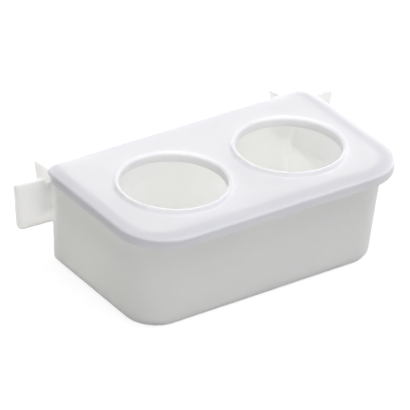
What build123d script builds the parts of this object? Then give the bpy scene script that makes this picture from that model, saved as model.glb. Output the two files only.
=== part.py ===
"""Two-hole seed cup for a small-bird cage: a moulded tub that hangs on the cage wires, and a lift-off lid.

Millimetres. +Z is up, +Y points at the cage wires, and the origin is the middle of the tub's base.
"""
import os

from build123d import *

# Tub walls. The front and side walls lean outwards, and the back wall stands upright.
base_length = 103.1        # outside, at the base
base_depth = 58.8          # outside, at the base
tub_height = 39.0          # base to the top of the rim
side_lean = 2.0            # how far each side wall leans out by the rim
front_lean = 2.7           # how far the front wall leans out by the rim
front_corner = 12.9        # upright front corners, outside
back_corner = 1.2          # upright back corners, outside
wall = 1.5
floor = 1.6
base_edge_round = 3.0      # outside edge where the walls meet the base
inside_back_corner = 2.4   # upright back corners, inside
inside_edge_bevel = 1.5    # inside edge where the walls meet the floor

# Lid, set by how far it reaches past the tub's rim
lid_thickness = 2.0
lid_side_overhang = 3.75
lid_front_overhang = 5.5
lid_back_inset = 0.8       # the lid stops short of the tub's back face, which lies on the wires
lid_front_corner = 18.5
lid_back_corner = 5.0
lid_edge_band = 4.0        # width of the gently falling band round the top
lid_edge_drop = 0.35       # how far that band falls
lid_edge_round = 0.8
skirt_drop = 2.4           # how far the skirt hangs below the lid's plate
skirt_wall = 1.5
skirt_gap = 0.35           # clearance from the skirt to the rim flange
locating_lip_length = 76.0
locating_lip_wall = 1.3
locating_lip_drop = 3.0
locating_lip_gap = 0.4     # clearance from the lip to the tub's back wall

# Rim flange that the lid sits on, hidden inside the skirt
flange_thickness = 1.6
flange_back_corner = 5.0

# Feeding holes, each with a raised collar
hole_diameter = 38.4
hole_spacing = 49.8
hole_setback = 32.2        # lid's front edge to the line of the hole centres
collar_wall = 1.6
collar_height = 1.9
collar_crown = 0.4         # how far the lip's middle stands above its two edges
collar_foot = 0.4          # flare where the collar meets the top

# Ears: flat tabs in line with the back wall, which lie against the wires beside the tub
ear_reach_top = 69.0       # middle of the cup to the ear's top outer corner
ear_taper = 1.7            # how far the outer edge comes in by the bottom
ear_top = 35.8             # at the root
ear_bottom = 17.4          # at the root
ear_rise = 0.6             # how far the top and bottom edges climb towards the tip
ear_corner = 2.2           # bottom outer corner radius
ear_root_round = 1.5       # between the ear and the side wall
ear_notch_reach = 57.2     # where the dip beside the lid's corner starts
ear_notch_run = 2.0
ear_notch_drop = 2.6

# Hooks: fins behind the back wall, open downwards, which drop over a cross wire
hook_wall = 1.6
hook_inset = 1.45          # side wall at the rim to the hook's outer face
hook_top = 35.8            # height of the hook's top edge at the back wall
hook_reach = 12.9          # back wall to the hook's rear tip
hook_tip_height = 34.8
hook_toe_bottom = 21.7
hook_toe_taper = 3.6       # how far the rear edge comes forward by the toe's bottom
hook_toe_round = 1.2
wire_slot_width = 5.0
wire_slot_roof = 29.7
wire_slot_round = 1.4

# Places worked out from the sizes above
back_face = base_depth / 2
lid_top = tub_height + lid_thickness
lid_half_length = base_length / 2 + side_lean + lid_side_overhang
lid_front = -base_depth / 2 - front_lean - lid_front_overhang
lid_back = back_face - lid_back_inset
skirt_bottom = tub_height - skirt_drop
skirt_end = lid_back - lid_back_corner
skirt_step = skirt_wall + skirt_gap
hole_line = lid_front + hole_setback


def rounded_plan(half_length, front, back, front_radius, back_radius):
    """Plan outline with one radius at both front corners and another at both back corners."""
    plan = Pos(0, (front + back) / 2) * Rectangle(2 * half_length, back - front)
    plan = fillet(plan.vertices().group_by(Axis.Y)[0], front_radius)
    return fillet(plan.vertices().group_by(Axis.Y)[-1], back_radius)


def leaning_block(inset, bottom, top, front_radius, back_radius):
    """The tub's form, moved in by an inset: a front profile crossed with a side profile, uprights rounded."""
    low, high = bottom / tub_height, top / tub_height
    half_low, half_high = (base_length / 2 + side_lean * rise - inset for rise in (low, high))
    front_low, front_high = (-base_depth / 2 - front_lean * rise + inset for rise in (low, high))
    back = back_face - inset
    front_corners = ((-half_low, bottom), (half_low, bottom), (half_high, top), (-half_high, top))
    side_corners = ((front_low, bottom), (back, bottom), (back, top), (front_high, top))
    block = extrude(Plane.XZ * Polygon(*front_corners, align=None), 2 * base_depth, both=True)
    block &= extrude(Plane.YZ * Polygon(*side_corners, align=None), 2 * base_length, both=True)
    uprights = block.edges().filter_by(lambda edge: edge.bounding_box().size.Z > (top - bottom) / 2)
    block = fillet(uprights.sort_by(Axis.Y)[:2], front_radius)
    uprights = block.edges().filter_by(lambda edge: edge.bounding_box().size.Z > (top - bottom) / 2)
    return fillet(uprights.sort_by(Axis.Y)[-2:], back_radius)


def tub_hollow():
    """The space inside the walls, carried on past the rim so that it cuts clean."""
    mouth = tub_height + wall
    hollow = leaning_block(wall, floor, mouth, front_corner - wall, inside_back_corner)
    return chamfer(hollow.edges().group_by(Axis.Z)[0], inside_edge_bevel)


def rim_flange():
    """The ledge round the front and sides of the rim, one clearance inside the lid's skirt."""
    plan = rounded_plan(
        lid_half_length - skirt_step,
        lid_front + skirt_step,
        back_face,
        lid_front_corner - skirt_step,
        flange_back_corner,
    )
    return extrude(Pos(0, 0, tub_height - flange_thickness) * plan, flange_thickness)


def ear():
    """The right-hand ear, as thick as the back wall that it carries on."""
    root = base_length / 2 - wall
    notch_floor = ear_top - ear_notch_drop
    outline = Polyline(
        (root, ear_bottom),
        (ear_reach_top - ear_taper, ear_bottom + ear_rise),
        (ear_reach_top, ear_top + ear_rise),
        (ear_notch_reach, ear_top),
        (ear_notch_reach - ear_notch_run, notch_floor),
        (root, notch_floor),
        close=True,
    )
    plate = make_face(Plane.XZ * outline)
    tip_corner = plate.vertices().sort_by_distance((ear_reach_top, 0, ear_bottom))[0]
    plate = fillet(tip_corner, ear_corner)
    return Pos(0, back_face, 0) * extrude(plate, wall)


def hook():
    """The right-hand hook, a fin whose slot opens downwards behind the back wall."""
    root = back_face - wall / 2
    slot_rear = back_face + wire_slot_width
    toe_rear = back_face + hook_reach - hook_toe_taper
    outline = Polyline(
        (root, wire_slot_roof),
        (slot_rear, wire_slot_roof),
        (slot_rear, hook_toe_bottom),
        (toe_rear, hook_toe_bottom),
        (back_face + hook_reach, hook_tip_height),
        (root, hook_top),
        close=True,
    )
    fin = make_face(Plane.YZ * outline)
    fin = fillet(fin.vertices().group_by(Axis.Z)[0], hook_toe_round)
    slot_corner = fin.vertices().sort_by_distance((0, slot_rear, wire_slot_roof))[0]
    fin = fillet(slot_corner, wire_slot_round)
    outer_face = base_length / 2 + side_lean - hook_inset
    return Pos(outer_face - hook_wall, 0, 0) * extrude(fin, hook_wall)


def is_ear_root(edge):
    """True for the upright edge where an ear's front face meets the side wall."""
    middle = edge.center()
    side_face = base_length / 2 + side_lean * middle.Z / tub_height
    on_ear_face = abs(middle.Y - back_face + wall) < wall / 4
    on_side_wall = abs(abs(middle.X) - side_face) < wall / 4
    return on_ear_face and on_side_wall and edge.length > (ear_top - ear_bottom) / 2


def seed_tub():
    """The moulded tub: walls, floor, rim flange, ears and hooks in one piece."""
    fittings = ear() + hook()
    body = leaning_block(0, 0, tub_height, front_corner, back_corner)
    body = fillet(body.edges().group_by(Axis.Z)[0], base_edge_round)
    body += fittings + mirror(fittings, about=Plane.YZ)
    body = fillet(body.edges().filter_by(is_ear_root), ear_root_round)
    return body + rim_flange() - tub_hollow()


def lid_shell():
    """The lid's plate and skirt, before the holes."""
    band_foot = lid_top - lid_edge_drop
    outline = rounded_plan(lid_half_length, lid_front, lid_back, lid_front_corner, lid_back_corner)
    block = extrude(Pos(0, 0, skirt_bottom) * outline, lid_top - skirt_bottom)
    top_face = block.faces().sort_by(Axis.Z)[-1]
    block = chamfer(top_face.edges(), lid_edge_band, lid_edge_drop, reference=top_face)
    block = fillet(block.edges().filter_by_position(Axis.Z, band_foot, band_foot), lid_edge_round)
    pocket = rounded_plan(
        lid_half_length - skirt_wall,
        lid_front + skirt_wall,
        lid_back + lid_back_corner,
        lid_front_corner - skirt_wall,
        lid_back_corner,
    )
    behind_skirt = Pos(0, skirt_end + lid_back_corner) * Rectangle(3 * lid_half_length, 2 * lid_back_corner)
    return block - extrude(Pos(0, 0, skirt_bottom) * (pocket + behind_skirt), skirt_drop)


def locating_lip():
    """The rib under the lid's back edge, which drops in behind the tub's back wall."""
    lip_back = back_face - wall - locating_lip_gap
    lip = Box(
        locating_lip_length,
        locating_lip_wall,
        locating_lip_drop,
        align=(Align.CENTER, Align.MAX, Align.MAX),
    )
    return Pos(0, lip_back, tub_height) * fillet(lip.edges().filter_by(Axis.Z), locating_lip_wall / 3)


def collar():
    """One feeding hole's collar, turned from its section: flared foot, upright wall and crowned lip."""
    bore = hole_diameter / 2
    outside = bore + collar_wall
    lip_crest = lid_top + collar_height
    lip_edge = lip_crest - collar_crown
    walls = Polyline(
        (bore, lip_edge),
        (bore, tub_height),
        (outside + collar_foot, tub_height),
        (outside + collar_foot, lid_top),
        (outside, lid_top + collar_foot),
        (outside, lip_edge),
    )
    lip = ThreePointArc((outside, lip_edge), (bore + collar_wall / 2, lip_crest), (bore, lip_edge))
    return revolve(make_face(Plane.XZ * (walls + lip)), Axis.Z)


def lid():
    """The lid, with its skirt, locating lip and two collared feeding holes."""
    shell = lid_shell() + locating_lip()
    for side in (-1, 1):
        centre = Pos(side * hole_spacing / 2, hole_line, 0)
        shell -= centre * extrude(Pos(0, 0, tub_height) * Circle(hole_diameter / 2), lid_thickness)
        shell += centre * collar()
    return shell


os.makedirs("parts", exist_ok=True)
export_step(seed_tub(), "parts/seed_tub.step")
export_step(lid(), "parts/lid.step")
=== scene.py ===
"""Two-hole seed cup for a small-bird cage, dressed in its plastics and lit as in a white studio.

Metres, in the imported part's frame: +Z up, +Y towards the cage wires, origin in the middle of the base.
"""

from math import cos, pi, radians, sin

import bmesh
import bpy
from mathutils import Euler, Matrix, Vector


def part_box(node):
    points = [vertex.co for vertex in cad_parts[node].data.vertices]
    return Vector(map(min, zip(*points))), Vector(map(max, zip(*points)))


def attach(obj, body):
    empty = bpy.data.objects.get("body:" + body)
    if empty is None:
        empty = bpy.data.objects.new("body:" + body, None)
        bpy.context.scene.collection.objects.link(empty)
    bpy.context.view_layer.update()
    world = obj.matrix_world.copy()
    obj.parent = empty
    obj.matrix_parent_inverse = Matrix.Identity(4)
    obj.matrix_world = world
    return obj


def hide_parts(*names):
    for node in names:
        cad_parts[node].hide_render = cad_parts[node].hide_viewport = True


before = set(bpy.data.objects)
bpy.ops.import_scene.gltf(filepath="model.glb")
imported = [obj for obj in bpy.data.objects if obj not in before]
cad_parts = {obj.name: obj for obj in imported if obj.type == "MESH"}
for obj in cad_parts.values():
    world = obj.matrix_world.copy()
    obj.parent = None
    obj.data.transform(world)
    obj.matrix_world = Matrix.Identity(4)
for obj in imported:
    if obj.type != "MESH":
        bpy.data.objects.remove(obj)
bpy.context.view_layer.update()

MM = 0.001

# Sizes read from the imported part
tub_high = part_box("seed_tub")[1]
lid_low, lid_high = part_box("lid")
rim_height = tub_high.z
lid_half_length = lid_high.x
lid_front = lid_low.y
lid_back = lid_high.y
collar_crest = lid_high.z
ear_tip = tub_high.x
hook_tip = tub_high.y

# Tub walls, of which the front and the sides lean outwards
base_half_length = 51.55 * MM
base_half_depth = 29.4 * MM
side_lean = 2.0 * MM
front_lean = 2.7 * MM
wall = 1.5 * MM
floor_thickness = 1.6 * MM
front_corner = 12.9 * MM
back_corner = 1.2 * MM
sharpest_back_corner = 0.3 * MM    # where the rounded base edge takes the back corner in
inside_back_corner = 2.4 * MM
base_edge_round = 3.0 * MM
inside_edge_round = 2.0 * MM
rim_edge_round = 0.3 * MM

# Rim flange under the lid
flange_thickness = 1.6 * MM
flange_back_corner = 5.0 * MM
flange_back_step = 0.1 * MM        # how far it stops short of the back face

# Ears, in line with the back wall
ear_bottom = 17.4 * MM             # at the root
ear_top = 35.8 * MM                # at the root
ear_rise = 0.6 * MM                # how far the top and bottom edges climb towards the tip
ear_taper = 1.7 * MM               # how far the outer edge comes in by the bottom
ear_corner = 2.2 * MM              # bottom outer corner
ear_notch_reach = 57.2 * MM        # where the dip beside the lid's corner starts
ear_notch_run = 2.0 * MM
ear_notch_drop = 2.6 * MM
ear_root_round = 1.5 * MM          # hollow fillet between the ear and the side wall

# Hooks behind the back wall, open downwards
hook_wall = 1.6 * MM
hook_inset = 1.45 * MM             # side wall at the rim to the hook's outer face
hook_top = 35.8 * MM
hook_tip_height = 34.8 * MM
hook_toe_bottom = 21.7 * MM
hook_toe_taper = 3.6 * MM          # how far the rear edge comes forward by the toe's bottom
hook_toe_round = 1.2 * MM
wire_slot_width = 5.0 * MM
wire_slot_roof = 29.7 * MM
wire_slot_round = 1.4 * MM

# Soft edges and corners of the ears and hooks
sharp = 0.0                        # radius of a corner or edge that isn't rounded
fitting_edge_round = 0.3 * MM
fitting_corner_round = 0.6 * MM
fitting_sink = 0.5 * MM            # how far each fitting runs into the wall that it grows from
fitting_sliver = 0.02 * MM         # what is left at the thin ends of a hollow fillet

# Lid
lid_thickness = 2.0 * MM
lid_front_corner = 18.5 * MM
lid_back_corner = 5.0 * MM
lid_sharpest_corner = 2.5 * MM     # back corners of the lines further in
lid_edge_band = 4.0 * MM           # width of the gently falling band round the top
lid_edge_drop = 0.35 * MM          # how far that band falls
lid_edge_round = 0.8 * MM
lid_crown_blend = 1.6 * MM         # round of the line where the flat top starts to fall
lid_plate_step = 2.4 * MM          # that line to the next one further in
skirt_drop = 2.4 * MM
skirt_wall = 1.5 * MM
skirt_gap = 0.35 * MM              # skirt to rim flange
skirt_edge_round = 0.4 * MM
back_ledge = 0.6 * MM              # the skirt's line on the underside to the lid's back edge

# Feeding holes, each with a raised collar
hole_radius = 19.2 * MM
hole_half_spacing = 24.9 * MM
hole_setback = 32.2 * MM           # lid's front edge to the line of the hole centres
collar_wall = 1.6 * MM
collar_bore_round = 1.2 * MM       # lip, on the bore's side
collar_lip_round = 0.3 * MM        # lip, on the outside
collar_foot_round = 0.5 * MM
collar_foot_reach = 1.2 * MM       # how far the turned section carries on into the plate
bore_edge_round = 0.4 * MM

# Locating lip under the lid's back edge
locating_lip_length = 76.0 * MM
locating_lip_wall = 1.3 * MM
locating_lip_drop = 3.0 * MM
locating_lip_gap = 0.4 * MM        # lip to the tub's back wall
locating_lip_corner = locating_lip_wall / 3
locating_lip_edge_round = locating_lip_wall / 4

# Places worked out from the sizes above
back_face = base_half_depth
ear_front = back_face - wall
ear_notch_floor = ear_top - ear_notch_drop
lid_top = rim_height + lid_thickness
skirt_end = lid_back - lid_back_corner
hole_line = lid_front + hole_setback

# Mesh fineness, in segments along each round
front_corner_segments = 18
back_corner_segments = 8
base_edge_segments = 8
inside_edge_segments = 5
rim_edge_segments = 2
fitting_corner_segments = 6
fitting_edge_segments = 3
lid_edge_segments = 5
lid_crown_segments = 4
skirt_edge_segments = 3
locating_lip_segments = 2
collar_corner_segments = 5
hole_segments = 128

# Mesh making
sharp_angle = radians(50)          # edges that turn by more stay sharp
flat_face_weight = 80
level_tolerance = 0.001 * MM
joining_lift = 100 * MM


def made_since(older, items):
    """The edges or faces that have none of the older points."""
    return [item for item in items if older.isdisjoint(item.verts)]


def round_off(bm, affect, items, radius, segments):
    """Rounds corners, as VERTICES, or EDGES, with a circular profile."""
    bmesh.ops.bevel(
        bm, geom=items, affect=affect, offset=radius, segments=segments, profile=0.5, material=-1
    )


def round_corners(bm, corners, segments):
    """Rounds each corner by its own radius."""
    for vert, radius in corners:
        if radius:
            round_off(bm, "VERTICES", [vert], radius, segments)


def pull(bm, faces, direction):
    """Extrudes faces along a direction. Gives back the faces that moved."""
    grown = bmesh.ops.extrude_face_region(bm, geom=faces)["geom"]
    verts = [item for item in grown if isinstance(item, bmesh.types.BMVert)]
    bmesh.ops.translate(bm, verts=verts, vec=direction)
    return [item for item in grown if isinstance(item, bmesh.types.BMFace)]


def outline(bm, half_length, front, back, front_radius, back_radius, height):
    """A level loop of edges, with one radius at both front corners and another at both back corners."""
    older = set(bm.verts)
    places = ((-half_length, front), (half_length, front), (half_length, back), (-half_length, back))
    corners = [bm.verts.new((x, y, height)) for x, y in places]
    bm.faces.new(corners)
    round_off(bm, "VERTICES", corners[:2], front_radius, front_corner_segments)
    round_off(bm, "VERTICES", corners[2:], back_radius, back_corner_segments)
    edges = made_since(older, bm.edges)
    bmesh.ops.delete(bm, geom=made_since(older, bm.faces), context="FACES_ONLY")
    return edges


def join_loops(bm, *loops):
    """Walls from each loop to the next. Gives back the faces of the last wall.

    The second loop is lifted while it is joined, because two loops in one plane don't show
    which way they run.
    """
    lift = Vector((0, 0, joining_lift))
    for first, second in zip(loops, loops[1:]):
        verts = list({vert for edge in second for vert in edge.verts})
        bmesh.ops.translate(bm, verts=verts, vec=lift)
        made = bmesh.ops.bridge_loops(bm, edges=first + second)
        bmesh.ops.translate(bm, verts=verts, vec=-lift)
    return made["faces"]


def open_edges_at(bm, height):
    """Open edges that lie at a height."""
    return [
        edge
        for edge in bm.edges
        if edge.is_boundary and all(abs(vert.co.z - height) < level_tolerance for vert in edge.verts)
    ]


def plate(bm, corners, direction, edge_round):
    """A flat plate: an outline of points, each with its corner's radius, thickened and softened."""
    older = set(bm.verts)
    verts = [(bm.verts.new(point), radius) for point, radius in corners]
    bm.faces.new([vert for vert, radius in verts])
    round_corners(bm, verts, fitting_corner_segments)
    pull(bm, made_since(older, bm.faces), direction)
    faces = made_since(older, bm.faces)
    bmesh.ops.recalc_face_normals(bm, faces=faces)
    if edge_round:
        # The faces between the two broad ones have four corners each, and the broad ones have more
        rims = {edge for face in faces if len(face.verts) > 4 for edge in face.edges}
        round_off(bm, "EDGES", list(rims), edge_round, fitting_edge_segments)


def new_object(name, bm):
    """Turns a bmesh into an object at the origin, smooth-shaded but for the edges left sharp."""
    for edge in bm.edges:
        edge.smooth = edge.calc_face_angle(0) < sharp_angle
    mesh = bpy.data.meshes.new(name)
    bm.to_mesh(mesh)
    bm.free()
    mesh.polygons.foreach_set("use_smooth", [True] * len(mesh.polygons))
    piece = bpy.data.objects.new(name, mesh)
    bpy.context.scene.collection.objects.link(piece)
    return piece


def flat_faces_stay_flat(piece):
    """Weighted normals, so that rounded edges don't shade across the flat faces beside them."""
    modifier = piece.modifiers.new("flat_faces", "WEIGHTED_NORMAL")
    modifier.mode = "FACE_AREA"
    modifier.weight = flat_face_weight
    modifier.keep_sharp = True


def tub_outline(bm, height, inset, front_radius, back_radius):
    """The tub's plan at a height, moved in by an inset."""
    rise = height / rim_height
    return outline(
        bm,
        base_half_length + side_lean * rise - inset,
        -base_half_depth - front_lean * rise + inset,
        back_face - inset,
        front_radius,
        back_radius,
        height,
    )


def tub_walls():
    """The tub without its ears and hooks: outer wall, flange, rim, inner wall and floor."""
    bm = bmesh.new()
    reach = skirt_wall + skirt_gap
    flange = (
        lid_half_length - reach,
        lid_front + reach,
        back_face - flange_back_step,
        lid_front_corner - reach,
        flange_back_corner,
    )
    inner_corner = front_corner - wall
    base = []
    for step in range(base_edge_segments + 1):
        turn = step / base_edge_segments * pi / 2
        inset = base_edge_round * (1 - sin(turn))
        height = base_edge_round * (1 - cos(turn))
        back_radius = max(back_corner - inset, sharpest_back_corner)
        base.append(tub_outline(bm, height, inset, front_corner - inset, back_radius))
    neck = tub_outline(bm, rim_height - flange_thickness, 0, front_corner, back_corner)
    flange_low = outline(bm, *flange, rim_height - flange_thickness)
    flange_high = outline(bm, *flange, rim_height)
    mouth = tub_outline(bm, rim_height, wall, inner_corner, inside_back_corner)
    floor_edge = tub_outline(bm, floor_thickness, wall, inner_corner, inside_back_corner)
    join_loops(bm, *base, neck, flange_low, flange_high, mouth, floor_edge)
    bmesh.ops.edgeloop_fill(bm, edges=base[0])
    bmesh.ops.edgeloop_fill(bm, edges=floor_edge)
    bmesh.ops.recalc_face_normals(bm, faces=bm.faces)
    round_off(bm, "EDGES", floor_edge, inside_edge_round, inside_edge_segments)
    round_off(bm, "EDGES", mouth + flange_high, rim_edge_round, rim_edge_segments)
    return new_object("tub_walls", bm)


def ears():
    """Both ears, sunk a little into the side walls that they grow from."""
    bm = bmesh.new()
    root = base_half_length - fitting_sink
    ear = (
        (root, ear_bottom, sharp),
        (ear_tip - ear_taper, ear_bottom + ear_rise, ear_corner),
        (ear_tip, ear_top + ear_rise, fitting_corner_round),
        (ear_notch_reach, ear_top, sharp),
        (ear_notch_reach - ear_notch_run, ear_notch_floor, sharp),
        (root, ear_notch_floor, sharp),
    )
    for side in (-1, 1):
        corners = [((side * x, ear_front, z), radius) for x, z, radius in ear]
        plate(bm, corners, (0, wall, 0), fitting_edge_round)
    return new_object("ears", bm)


def hooks():
    """Both hooks, sunk a little into the back wall."""
    bm = bmesh.new()
    root = back_face - fitting_sink
    slot_rear = back_face + wire_slot_width
    outer_face = base_half_length + side_lean - hook_inset
    hook = (
        (root, wire_slot_roof, sharp),
        (slot_rear, wire_slot_roof, wire_slot_round),
        (slot_rear, hook_toe_bottom, hook_toe_round),
        (hook_tip - hook_toe_taper, hook_toe_bottom, hook_toe_round),
        (hook_tip, hook_tip_height, fitting_corner_round),
        (root, hook_top, sharp),
    )
    for side in (-1, 1):
        corners = [((side * outer_face, y, z), radius) for y, z, radius in hook]
        plate(bm, corners, (-side * hook_wall, 0, 0), fitting_edge_round)
    return new_object("hooks", bm)


def ear_roots():
    """The hollow fillets where the ears meet the leaning side walls."""
    bm = bmesh.new()
    low = ear_bottom + fitting_edge_round
    height = ear_notch_floor - fitting_edge_round - low
    run = side_lean * height / rim_height
    side_face = base_half_length + side_lean * low / rim_height
    reach = ear_root_round + fitting_sliver
    root = (
        (side_face - fitting_sink, ear_front + fitting_sink, sharp),
        (side_face + reach, ear_front + fitting_sink, sharp),
        (side_face + reach, ear_front, sharp),
        (side_face, ear_front, ear_root_round),
        (side_face, ear_front - reach, sharp),
        (side_face - fitting_sink, ear_front - reach, sharp),
    )
    for side in (-1, 1):
        corners = [((side * x, y, low), radius) for x, y, radius in root]
        plate(bm, corners, (side * run, 0, height), sharp)
    return new_object("ear_roots", bm)


def moulded_tub():
    """The whole tub in one closed mesh."""
    walls = tub_walls()
    fittings = (ears(), hooks(), ear_roots())
    for fitting in fittings:
        union = walls.modifiers.new(fitting.name, "BOOLEAN")
        union.operation = "UNION"
        union.solver = "MANIFOLD"
        union.object = fitting
    whole = walls.evaluated_get(bpy.context.evaluated_depsgraph_get())
    bm = bmesh.new()
    bm.from_mesh(whole.data)
    # The unions leave slivers, and stray points part way along straight edges
    bmesh.ops.dissolve_degenerate(bm, dist=level_tolerance, edges=bm.edges)
    strays = [vert for vert in bm.verts if len(vert.link_edges) == 2]
    bmesh.ops.dissolve_verts(bm, verts=strays)
    for piece in (walls, *fittings):
        bpy.data.objects.remove(piece)
    return new_object("tub_moulding", bm)


def lid_outline(bm, inset, height):
    """The lid's plan, moved in by an inset."""
    return outline(
        bm,
        lid_half_length - inset,
        lid_front + inset,
        lid_back - inset,
        lid_front_corner - inset,
        max(lid_back_corner - inset, lid_sharpest_corner),
        height,
    )


def locating_lip(bm):
    """The rib under the lid's back edge. Gives back the edges of its toe."""
    lip_back = back_face - wall - locating_lip_gap
    plan = (
        locating_lip_length / 2,
        lip_back - locating_lip_wall,
        lip_back,
        locating_lip_corner,
        locating_lip_corner,
    )
    root = outline(bm, *plan, rim_height)
    toe = outline(bm, *plan, rim_height - locating_lip_drop)
    join_loops(bm, root, toe)
    bmesh.ops.edgeloop_fill(bm, edges=toe)
    return toe


def collar(bm, centre):
    """A feeding hole's collar, turned from its section: bore, rounded lip, outer wall and flared foot."""
    outside = hole_radius + collar_wall
    section = (
        (hole_radius + collar_foot_reach, rim_height, sharp),
        (hole_radius, rim_height, bore_edge_round),
        (hole_radius, collar_crest, collar_bore_round),
        (outside, collar_crest, collar_lip_round),
        (outside, lid_top, collar_foot_round),
        (outside + collar_foot_reach, lid_top, sharp),
    )
    older = set(bm.verts)
    corners = [(bm.verts.new((centre.x + x, centre.y, z)), radius) for x, z, radius in section]
    for (start, _), (end, _) in zip(corners, corners[1:]):
        bm.edges.new((start, end))
    round_corners(bm, corners, collar_corner_segments)
    verts = [vert for vert in bm.verts if vert not in older]
    bmesh.ops.spin(
        bm,
        geom=verts + made_since(older, bm.edges),
        cent=centre,
        axis=(0, 0, 1),
        angle=2 * pi,
        steps=hole_segments,
        use_merge=True,
    )


def skirt(bm, ledge):
    """Pulls the skirt down from the ledge at the front and sides. Gives back the edges of its foot."""
    hanging = [face for face in ledge if face.calc_center_median().y < skirt_end]
    foot = set(pull(bm, hanging, (0, 0, -skirt_drop)))
    bmesh.ops.delete(bm, geom=hanging, context="FACES")
    edges = {edge for face in foot for edge in face.edges}
    return [edge for edge in edges if not foot.issuperset(edge.link_faces)]


def moulded_lid():
    """The lid in one closed mesh: top, falling edge, skirt, collars and locating lip."""
    bm = bmesh.new()
    top = lid_outline(bm, lid_edge_band + lid_plate_step, lid_top)
    crown = lid_outline(bm, lid_edge_band, lid_top)
    brow = lid_outline(bm, 0, lid_top - lid_edge_drop)
    shoulder = lid_outline(bm, 0, rim_height)
    join_loops(bm, top, crown, brow, shoulder)
    skirt_root = outline(
        bm,
        lid_half_length - skirt_wall,
        lid_front + skirt_wall,
        lid_back - back_ledge,
        lid_front_corner - skirt_wall,
        lid_back_corner - back_ledge,
        rim_height,
    )
    ledge = join_loops(bm, shoulder, skirt_root)
    lip_toe = locating_lip(bm)
    for side in (-1, 1):
        collar(bm, Vector((side * hole_half_spacing, hole_line, 0)))
    for height in (lid_top, rim_height):
        bmesh.ops.triangle_fill(bm, edges=open_edges_at(bm, height), use_beauty=True, normal=(0, 0, 1))
    skirt_foot = skirt(bm, ledge)
    bmesh.ops.recalc_face_normals(bm, faces=bm.faces)
    round_off(bm, "EDGES", brow, lid_edge_round, lid_edge_segments)
    round_off(bm, "EDGES", crown, lid_crown_blend, lid_crown_segments)
    round_off(bm, "EDGES", skirt_foot, skirt_edge_round, skirt_edge_segments)
    round_off(bm, "EDGES", lip_toe, locating_lip_edge_round, locating_lip_segments)
    return new_object("lid_moulding", bm)


def linear(hex_colour):
    """An sRGB hex colour as linear red, green, blue and alpha."""
    channels = [int(hex_colour[i:i + 2], 16) / 255 for i in (1, 3, 5)]
    return [c / 12.92 if c <= 0.04045 else ((c + 0.055) / 1.055) ** 2.4 for c in channels] + [1.0]


def empty_tree(owner):
    """Turns on the nodes of a material or world, and empties them."""
    owner.use_nodes = True
    owner.node_tree.nodes.clear()
    return owner.node_tree


def add_node(tree, kind, inputs=None, **settings):
    """Adds a node with its settings, and sets or links its inputs by name or number."""
    node = tree.nodes.new(kind)
    for name, value in settings.items():
        setattr(node, name, value)
    for name, value in (inputs or {}).items():
        if isinstance(value, bpy.types.NodeSocket):
            tree.links.new(value, node.inputs[name])
        else:
            node.inputs[name].default_value = value
    return node


# Plastics
polypropylene_ior = 1.49
# Red light reaches further than blue, so a lit face looks cool and a wall with light behind it warm
opal_reach = (1.0, 0.92, 0.8)
# Handling leaves patches that are a little smoother than the rest
handling_patch = 9 * MM
smoothest_finish = 0.48
roughest_finish = 0.6
# The real grain is about 0.1 mm across, and is drawn coarser so that it shows
moulded_grain = 0.7 * MM
moulded_grain_depth = 0.012 * MM
# The levels between which most of a noise lies
noise_low = 0.3
noise_high = 0.7


def polypropylene(name, pale, deep, cloud_size, lit_through, light_reach):
    """Injection-moulded polypropylene.

    It is milky, faintly clouded and lit through at thin walls, with a fine sparked grain and a soft gloss.
    """
    material = bpy.data.materials.new(name)
    tree = empty_tree(material)
    place = add_node(tree, "ShaderNodeTexCoord").outputs["Object"]
    cloud = add_node(
        tree,
        "ShaderNodeTexNoise",
        {"Vector": place, "Scale": 1 / cloud_size, "Detail": 3.0, "Roughness": 0.55},
    )
    colour = add_node(tree, "ShaderNodeValToRGB", {"Fac": cloud.outputs["Fac"]})
    for stop, position, shade in zip(colour.color_ramp.elements, (noise_low, noise_high), (pale, deep)):
        stop.position = position
        stop.color = linear(shade)
    handling = add_node(
        tree,
        "ShaderNodeTexNoise",
        {"Vector": place, "Scale": 1 / handling_patch, "Detail": 4.0, "Roughness": 0.6},
    )
    gloss = add_node(
        tree,
        "ShaderNodeMapRange",
        {
            "Value": handling.outputs["Fac"],
            "From Min": noise_low,
            "From Max": noise_high,
            "To Min": smoothest_finish,
            "To Max": roughest_finish,
        },
    )
    grain = add_node(
        tree,
        "ShaderNodeTexNoise",
        {"Vector": place, "Scale": 1 / moulded_grain, "Detail": 2.0, "Roughness": 0.5},
    )
    relief = add_node(
        tree,
        "ShaderNodeBump",
        {"Height": grain.outputs["Fac"], "Strength": 1.0, "Distance": moulded_grain_depth},
    )
    shader = add_node(
        tree,
        "ShaderNodeBsdfPrincipled",
        {
            "Base Color": colour.outputs["Color"],
            "Roughness": gloss.outputs["Result"],
            "IOR": polypropylene_ior,
            "Normal": relief.outputs["Normal"],
            "Subsurface Weight": lit_through,
            "Subsurface Radius": opal_reach,
            "Subsurface Scale": light_reach,
        },
    )
    add_node(tree, "ShaderNodeOutputMaterial", {"Surface": shader.outputs["BSDF"]})
    return material


# Studio
ambient_light = 0.30
paper_glow = 0.86                  # with the lamps' light on it, the paper shows as white
floor_half_size = 4.0
floor_drop = 0.1 * MM              # the paper lies this far below the cup's base
lamp_target = Vector((0, 0, 20 * MM))


def seen_directly(tree):
    """One for rays that show the backdrop itself: straight, mirrored or through a clear body."""
    path = add_node(tree, "ShaderNodeLightPath").outputs
    mirrored = add_node(
        tree,
        "ShaderNodeMath",
        {0: path["Is Camera Ray"], 1: path["Is Glossy Ray"]},
        operation="MAXIMUM",
    )
    either = add_node(
        tree,
        "ShaderNodeMath",
        {0: mirrored.outputs["Value"], 1: path["Is Transmission Ray"]},
        operation="MAXIMUM",
    )
    return either.outputs["Value"]


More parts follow.
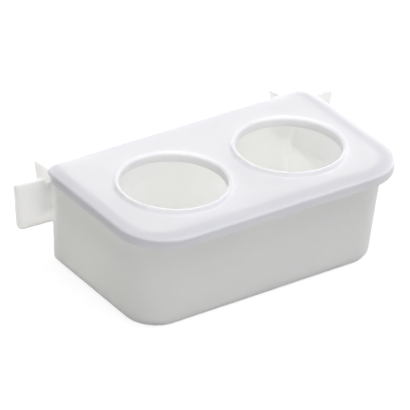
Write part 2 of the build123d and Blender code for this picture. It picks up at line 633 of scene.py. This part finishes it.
def white_studio():
    """A plain white surround, which lights the cup more softly than it shows."""
    world = bpy.data.worlds.new("white_studio")
    tree = empty_tree(world)
    level = add_node(
        tree,
        "ShaderNodeMapRange",
        {"Value": seen_directly(tree), "To Min": ambient_light, "To Max": 1.0},
    )
    sky = add_node(
        tree,
        "ShaderNodeBackground",
        {"Color": linear("#FFFFFF"), "Strength": level.outputs["Result"]},
    )
    add_node(tree, "ShaderNodeOutputWorld", {"Surface": sky.outputs["Background"]})
    return world


def white_paper():
    """Seamless studio paper: white with a soft shadow where it shows, and pale matt to the cup above it."""
    material = bpy.data.materials.new("white_paper")
    tree = empty_tree(material)
    matt = add_node(tree, "ShaderNodeBsdfDiffuse", {"Color": linear("#C8C8C8")})
    shadow_layer = add_node(tree, "ShaderNodeBsdfDiffuse", {"Color": linear("#808080")})
    glow = add_node(tree, "ShaderNodeEmission", {"Strength": paper_glow})
    shown = add_node(
        tree,
        "ShaderNodeAddShader",
        {0: shadow_layer.outputs["BSDF"], 1: glow.outputs["Emission"]},
    )
    mix = add_node(
        tree,
        "ShaderNodeMixShader",
        {"Fac": seen_directly(tree), 1: matt.outputs["BSDF"], 2: shown.outputs["Shader"]},
    )
    add_node(tree, "ShaderNodeOutputMaterial", {"Surface": mix.outputs["Shader"]})
    return material


def studio_floor():
    """A wide sheet of paper under the cup."""
    bm = bmesh.new()
    bmesh.ops.create_grid(bm, x_segments=1, y_segments=1, size=floor_half_size)
    bmesh.ops.translate(bm, verts=bm.verts, vec=(0, 0, -floor_drop))
    sheet = new_object("studio_floor", bm)
    sheet.data.materials.append(white_paper())
    return sheet


def softbox(name, place, width, height, power):
    """A softbox aimed at the cup."""
    lamp = bpy.data.lights.new(name, "AREA")
    lamp.shape = "RECTANGLE"
    lamp.size = width
    lamp.size_y = height
    lamp.energy = power
    fitting = bpy.data.objects.new(name, lamp)
    fitting.location = place
    fitting.rotation_euler = (lamp_target - Vector(place)).to_track_quat("-Z", "Y").to_euler()
    bpy.context.scene.collection.objects.link(fitting)


# The lid's white pigment turns half of the light back at the surface, and the plain tub lets all of it in
lid_white = polypropylene(
    "white_polypropylene",
    pale="#FAF8FE",
    deep="#F6F4FB",
    cloud_size=22 * MM,
    lit_through=0.5,
    light_reach=20.0 * MM,
)
tub_natural = polypropylene(
    "natural_polypropylene",
    pale="#FDFEFC",
    deep="#FAFBF7",
    cloud_size=14 * MM,
    lit_through=1.0,
    light_reach=19.0 * MM,
)

tub = moulded_tub()
lid = moulded_lid()
for piece, node, body, slot, material in (
    (tub, "seed_tub", "tub", "tub_plastic", tub_natural),
    (lid, "lid", "lid", "lid_plastic", lid_white),
):
    piece.data.materials.append(material)
    flat_faces_stay_flat(piece)
    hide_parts(node)
    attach(piece, body)

# Camera, at the photograph's viewing angle
aim = Vector((-11.18, -5.95, 28.73)) * MM
view_distance = 1368 * MM
azimuth = radians(-35.97)
elevation = radians(30.54)
roll = radians(2.62)
camera = bpy.data.objects.new("camera", bpy.data.cameras.new("camera"))
bpy.context.scene.collection.objects.link(camera)
bpy.context.scene.camera = camera
turn = Euler((radians(90) - elevation, 0, azimuth)).to_matrix() @ Matrix.Rotation(roll, 3, "Z")
camera.matrix_world = Matrix.Translation(aim + turn @ Vector((0, 0, view_distance))) @ turn.to_4x4()
camera.data.sensor_width = 36
camera.data.lens = 340.3
camera.data.clip_end = 10

# White surround, floor and lamps
bpy.context.scene.world = white_studio()
floor_piece = studio_floor()
softbox("back_softbox", place=(0.45, 1.2, 0.1), width=1.2, height=0.2, power=9.1)
softbox("right_softbox", place=(1.25, 0.1, 0.12), width=0.7, height=0.7, power=7.6)
softbox("front_softbox", place=(0.1, -0.9, 0.9), width=0.9, height=0.9, power=2.3)
softbox("top_softbox", place=(0.0, -0.3, 1.2), width=0.9, height=0.9, power=8.3)

bpy.context.scene.view_settings.view_transform = "Standard"

# Light goes on through many turns inside the pale cup
bpy.context.scene.cycles.max_bounces = 24
bpy.context.scene.cycles.diffuse_bounces = 16
